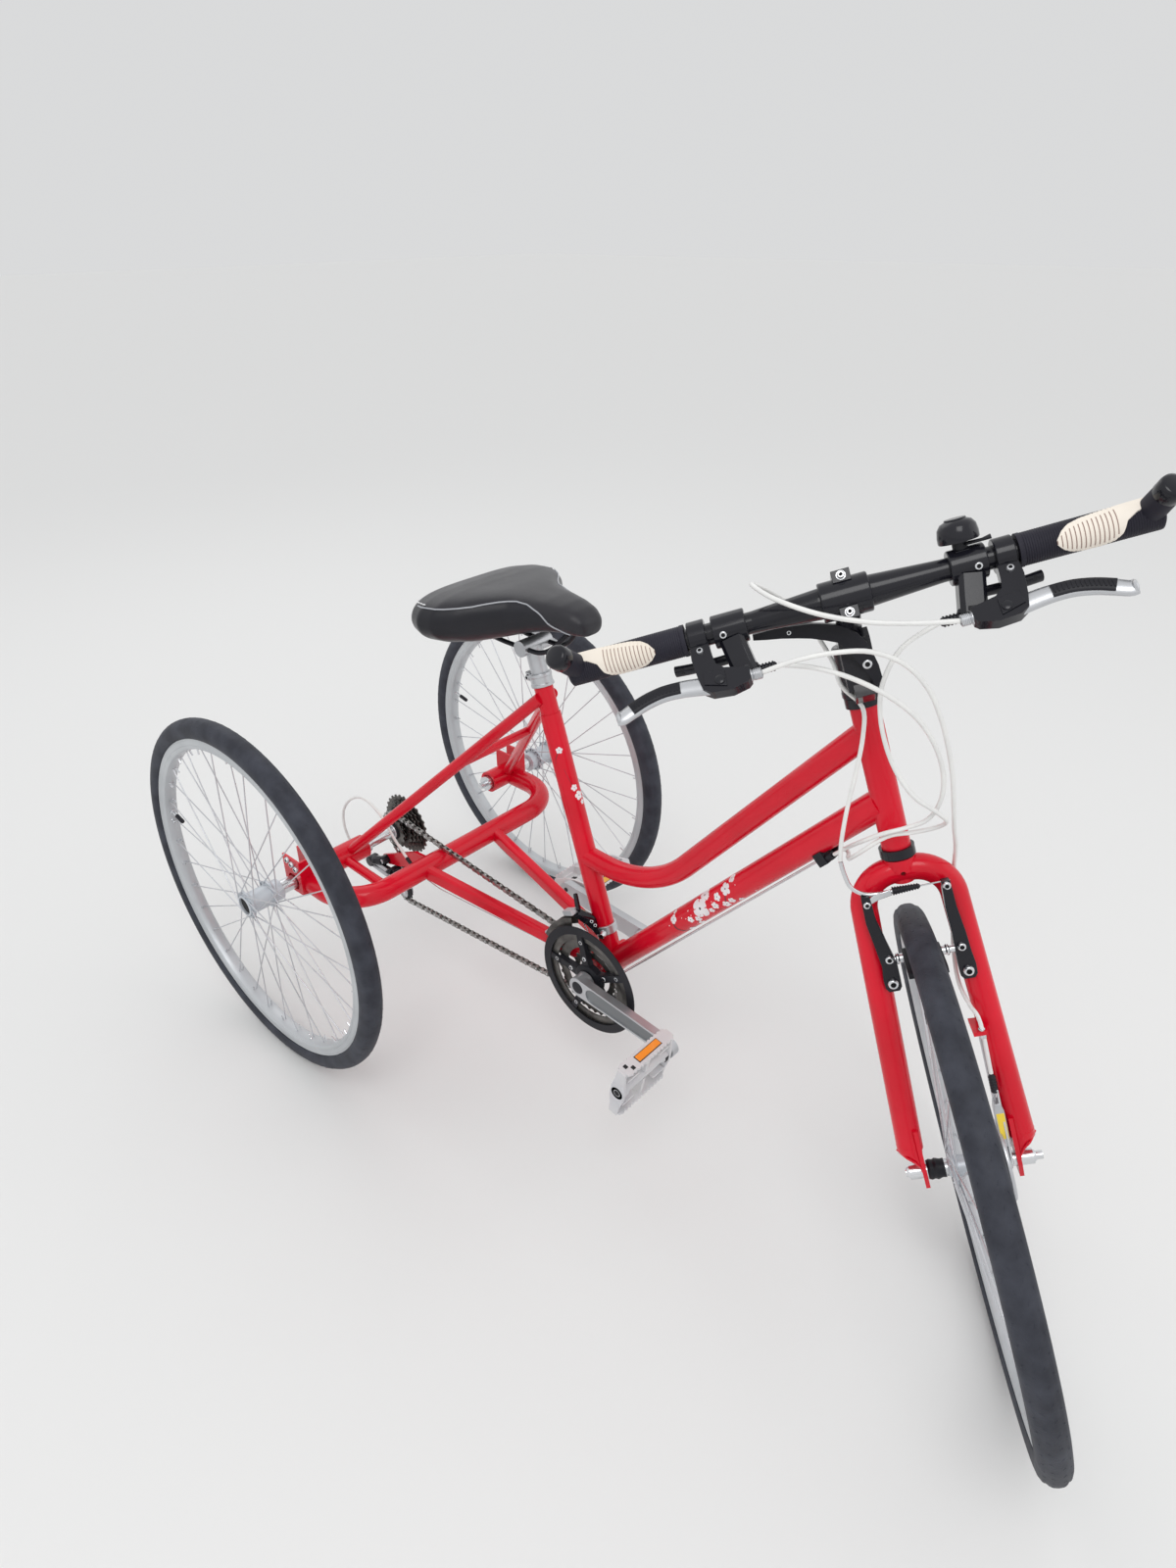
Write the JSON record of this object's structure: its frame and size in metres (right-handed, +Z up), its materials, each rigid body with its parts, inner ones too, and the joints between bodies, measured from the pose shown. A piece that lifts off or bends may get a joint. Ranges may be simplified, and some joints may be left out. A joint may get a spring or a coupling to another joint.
{
  "type": "adult tricycle",
  "caption": "Upright pedal tricycle with a step-through tube frame, one steered wheel in front and two wheels behind, geared by a chain.",
  "frame": {"origin": "middle of the object's bounding box in X and Y, on the floor it stands on", "axes": "+X forward, +Y to the rider's left, +Z up; the front wheel is turned to the rider's right as parked"},
  "size_m": [1.6135, 0.712, 1.089],
  "materials": {
    "red_paint": "glossy enamel",
    "alloy": "satin silver",
    "bright_steel": "bright plated",
    "black_alloy": "gloss black",
    "black_steel": "satin black",
    "chain_steel": "oiled grey steel",
    "tyre": "matte slate-grey rubber",
    "grip_rubber": "matte black with cream patches",
    "saddle_cover": "soft black padded cover",
    "black_plastic": "matte black",
    "cable_housing": "white housing"
  },
  "bodies": {
    "frame": {"head_tube": "red_paint", "down_tube": "red_paint", "top_tube": "red_paint", "seat_tube": "red_paint", "bottom_bracket_shell": "red_paint", "chainstays": "red_paint", "axle_crossbar": "red_paint", "axle_housings": "red_paint", "axle_brackets": "red_paint", "seat_stays": "red_paint", "axle_brace": "red_paint", "derailleur_hanger": "red_paint", "seat_clamp": "alloy", "seat_post": "alloy", "saddle_rails": "black_steel", "saddle": "saddle_cover", "headset_cups": "black_steel", "cable_stop": "black_plastic", "chain": "chain_steel", "front_derailleur": "black_steel", "rear_derailleur": "alloy", "rear_shift_cables": "cable_housing"},
    "steering": {"fork": "red_paint", "front_axle": "bright_steel", "drum_brake_plate": "alloy", "brake_arms": "alloy", "brake_noodle": "bright_steel", "stem": "black_alloy", "stem_lever": "black_plastic", "handlebar": "black_alloy", "grips": "grip_rubber", "brake_perches": "black_alloy", "brake_levers": "alloy", "shifters": "black_plastic", "bell": "black_plastic", "front_brake_cable": "cable_housing", "drum_brake_cable": "cable_housing", "shift_cable_right": "cable_housing", "shift_cable_left": "cable_housing"},
    "front_wheel": {"front_tyre": "tyre", "front_rim": "alloy", "front_spokes": "bright_steel", "front_hub": "alloy"},
    "right_wheel": {"right_tyre": "tyre", "right_rim": "alloy", "right_spokes": "bright_steel", "right_hub": "alloy", "right_axle": "bright_steel"},
    "left_wheel": {"left_tyre": "tyre", "left_rim": "alloy", "left_spokes": "bright_steel", "left_hub": "alloy", "left_axle": "bright_steel"},
    "crank": {"chainrings": "black_alloy", "crank_right": "alloy", "crank_left": "alloy"},
    "pedal_right": {"pedal_right": "alloy"},
    "pedal_left": {"pedal_left": "alloy"},
    "cassette": {"cassette": "chain_steel"}
  },
  "joints": [
    {"name": "steering_turn", "type": "hinge", "parent": "frame", "child": "steering", "pos_m": [0.57031, 0, 0.29171], "axis": [-0.3762, 0, 0.9265], "range_deg": [-15, 125], "deforming": ["shift_cable_right", "shift_cable_left"]},
    {"name": "front_wheel_spin", "type": "hinge", "parent": "steering", "child": "front_wheel", "pos_m": [0.59428, -0.03682, 0.30145], "axis": [0.758, 0.575, 0.3078], "continuous": true},
    {"name": "right_wheel_spin", "type": "hinge", "parent": "frame", "child": "right_wheel", "pos_m": [-0.491, -0.3305, 0.3159], "axis": [0, 1, 0], "continuous": true},
    {"name": "left_wheel_spin", "type": "hinge", "parent": "frame", "child": "left_wheel", "pos_m": [-0.491, 0.3305, 0.3159], "axis": [0, 1, 0], "continuous": true},
    {"name": "crank_spin", "type": "hinge", "parent": "frame", "child": "crank", "pos_m": [-0.002, 0, 0.254], "axis": [0, 1, 0], "continuous": true},
    {"name": "pedal_right_spin", "type": "hinge", "parent": "crank", "child": "pedal_right", "pos_m": [0.17246, -0.125, 0.24027], "axis": [0, 1, 0], "continuous": true},
    {"name": "pedal_left_spin", "type": "hinge", "parent": "crank", "child": "pedal_left", "pos_m": [-0.17646, 0.125, 0.26773], "axis": [0, 1, 0], "continuous": true},
    {"name": "cassette_spin", "type": "hinge", "parent": "frame", "child": "cassette", "pos_m": [-0.491, -0.038, 0.3159], "axis": [0, 1, 0], "continuous": true}
  ],
  "couplings": [
    {"joint": "cassette_spin", "follows": "crank_spin", "ratio": 1.5}
  ]
}
